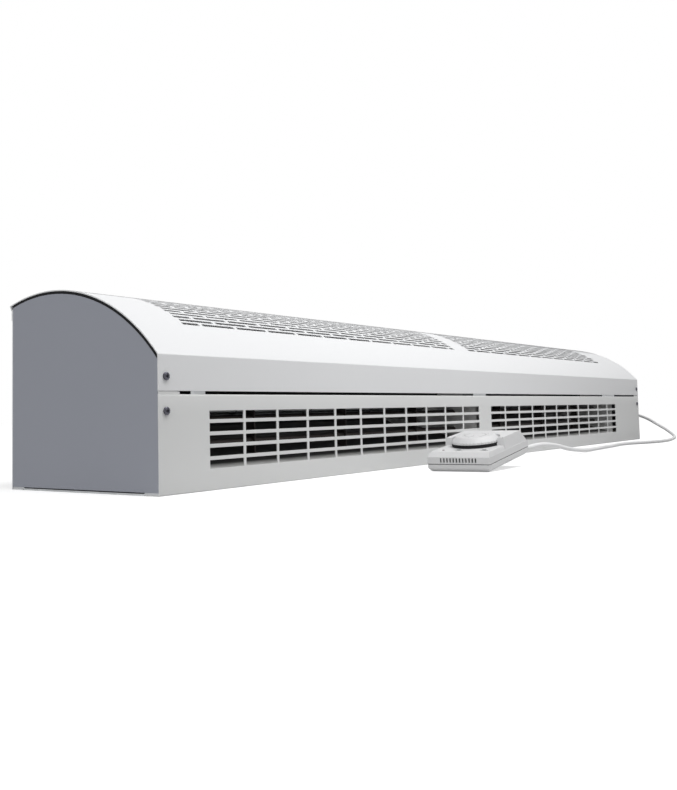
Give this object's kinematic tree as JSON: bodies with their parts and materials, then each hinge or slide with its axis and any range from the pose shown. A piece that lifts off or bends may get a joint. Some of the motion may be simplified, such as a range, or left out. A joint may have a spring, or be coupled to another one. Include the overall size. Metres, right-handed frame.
{
  "type": "air curtain",
  "caption": "Heated air curtain with an arched perforated cover, cross-flow drum fan, slotted outlet windows and a wired thermostat remote, lying on its wall face.",
  "frame": {"origin": "centre of the casing's flat wall face, which lies on the floor in the picture", "axes": "+X along the casing towards the motor end, -Y out of the outlet windows, +Z away from the wall into the room"},
  "size_m": [1.6489, 0.388, 0.2131],
  "materials": {
    "painted_white": "satin powder coat",
    "painted_grey": "satin powder coat",
    "end_grey": "satin powder coat",
    "galvanised": "galvanised sheet",
    "screw_steel": "bright zinc",
    "rubber_black": "matt",
    "fan_sheet": "mill finish",
    "steel_bar": "ground",
    "element_steel": "heat darkened",
    "motor_paint": "painted casting",
    "motor_alloy": "die cast",
    "plastic_white": "fine grain moulding",
    "plastic_ivory": "moulded",
    "plastic_dark": "moulded",
    "plastic_grey": "moulded",
    "board_green": "lacquered board",
    "lamp_red": "tinted lens",
    "cord_white": "cable sheath"
  },
  "bodies": {
    "casing": {"wall_plate": "galvanised", "rear_panel": "painted_white", "end_panel_left": "end_grey", "end_panel_right": "end_grey", "top_cover": "painted_white", "front_panel": "painted_grey", "gasket_left": "rubber_black", "gasket_right": "rubber_black", "catch_left": "galvanised", "catch_mid": "galvanised", "catch_right": "galvanised", "front_screws": "screw_steel", "rear_screws": "screw_steel", "bulkhead_left": "galvanised", "bulkhead_mid_left": "galvanised", "bulkhead_mid_right": "galvanised", "bulkhead_right": "galvanised", "scroll_left": "galvanised", "scroll_right": "galvanised", "tongue_left": "galvanised", "tongue_right": "galvanised", "heater_left": "element_steel", "heater_right": "element_steel", "heater_brackets": "galvanised", "bearing_left": "motor_alloy", "bearing_mid": "motor_alloy", "motor_can": "motor_paint", "motor_bell_inner": "motor_alloy", "motor_bell_outer": "motor_alloy", "motor_bracket": "galvanised", "motor_capacitor": "plastic_white", "terminal_block": "plastic_ivory", "control_board": "board_green", "relays": "plastic_dark", "board_posts": "plastic_grey", "thermal_cutout": "plastic_dark", "mains_grommet": "rubber_black", "cord_gland": "plastic_white", "remote_base": "plastic_white", "remote_cover": "plastic_white", "thermostat": "plastic_ivory", "switch_blocks": "plastic_dark", "remote_lamp": "lamp_red", "remote_board": "board_green", "remote_gland": "plastic_white", "remote_cord": "cord_white"},
    "rotor": {"impeller_left": "fan_sheet", "impeller_right": "fan_sheet", "shaft_left": "steel_bar", "shaft_mid": "steel_bar", "motor_shaft": "steel_bar", "coupling": "rubber_black", "motor_rotor": "motor_paint"},
    "dial": {"temperature_dial": "plastic_white"},
    "fan_knob": {"fan_switch": "plastic_grey"},
    "heat_knob": {"heat_switch": "plastic_grey"}
  },
  "joints": [
    {"name": "fan_spin", "type": "hinge", "parent": "casing", "child": "rotor", "pos_m": [0, 0.02, 0.115], "axis": [1, 0, 0], "continuous": true},
    {"name": "dial_turn", "type": "hinge", "parent": "casing", "child": "dial", "pos_m": [-0.30363, -0.22442, 0.03492], "axis": [-0.1287, -0.0056, 0.9917], "range_deg": [0, 270]},
    {"name": "fan_switch_slide", "type": "slide", "parent": "casing", "child": "fan_knob", "axis": [-0.0436, 0.999, 0], "range_m": [-0.0015, 0.0015]},
    {"name": "heat_switch_slide", "type": "slide", "parent": "casing", "child": "heat_knob", "axis": [-0.0436, 0.999, 0], "range_m": [-0.0015, 0.0015]}
  ]
}
